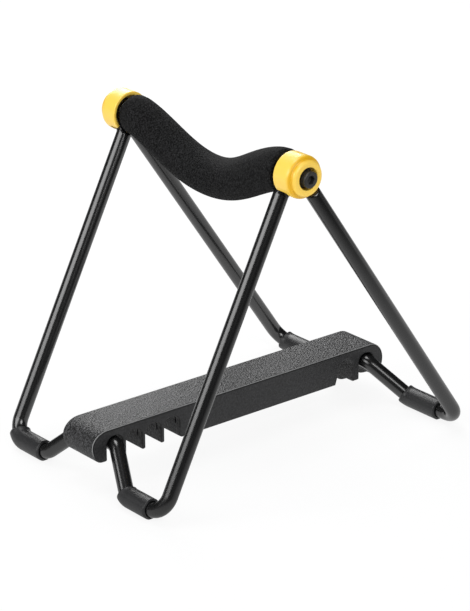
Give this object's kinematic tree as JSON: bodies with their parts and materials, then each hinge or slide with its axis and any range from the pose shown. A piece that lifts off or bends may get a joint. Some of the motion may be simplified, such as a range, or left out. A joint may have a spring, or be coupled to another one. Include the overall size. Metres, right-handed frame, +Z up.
{
  "type": "guitar neck rest",
  "caption": "Folding guitar neck rest: bent rod frames with rubber sleeved feet, a dipped foam saddle between capped pivots, and a notched spreader bar that sets the height.",
  "frame": {"origin": "on the floor, midway between the two feet and on the middle plane of the stand", "axes": "+Z up; the hinge axis and the saddle run along Y; the outer frame stands at +X and the inner frame at -X, with the spreader bar along X between them"},
  "size_m": [0.2017, 0.1592, 0.176],
  "materials": {
    "frame_paint": "gloss black paint on steel rod",
    "cap_plastic": "satin yellow moulding",
    "saddle_foam": "matte black closed-cell foam",
    "foot_rubber": "dark rubber with a soft sheen",
    "bar_plastic": "charcoal moulding with a fine texture",
    "tube_steel": "plain drawn tube",
    "bolt_steel": "black oxide",
    "washer_nylon": "black nylon"
  },
  "bodies": {
    "outer_frame": {"outer_frame_rod": "frame_paint", "outer_foot_sleeve_front": "foot_rubber", "outer_foot_sleeve_back": "foot_rubber", "end_cap_front": "cap_plastic", "end_cap_back": "cap_plastic"},
    "inner_frame": {"inner_frame_rod": "frame_paint", "inner_foot_sleeve_front": "foot_rubber", "inner_foot_sleeve_back": "foot_rubber"},
    "saddle": {"saddle_tube": "tube_steel", "saddle_foam": "saddle_foam", "tube_plug_front": "washer_nylon", "tube_plug_back": "washer_nylon", "pivot_bolt_front": "bolt_steel", "pivot_bolt_back": "bolt_steel", "thrust_washer_front": "washer_nylon", "thrust_washer_back": "washer_nylon", "eye_spacer_front": "washer_nylon", "eye_spacer_back": "washer_nylon", "head_washer_front": "bolt_steel", "head_washer_back": "bolt_steel"},
    "spreader": {"spreader_bar": "bar_plastic"}
  },
  "joints": [
    {"name": "frame_fold", "type": "hinge", "parent": "outer_frame", "child": "inner_frame", "pos_m": [-0.01387, 0, 0.165], "axis": [0, -1, 0], "range_deg": [0, 60.25]},
    {"name": "spreader_swing", "type": "hinge", "parent": "outer_frame", "child": "spreader", "pos_m": [0.08387, 0, 0.02214], "axis": [0, 1, 0], "range_deg": [0, 42]},
    {"name": "saddle_swivel", "type": "hinge", "parent": "outer_frame", "child": "saddle", "pos_m": [-0.01387, 0, 0.165], "axis": [0, 1, 0], "continuous": true}
  ],
  "couplings": [
    {"joint": "spreader_swing", "follows": "frame_fold", "ratio": 0.697}
  ]
}
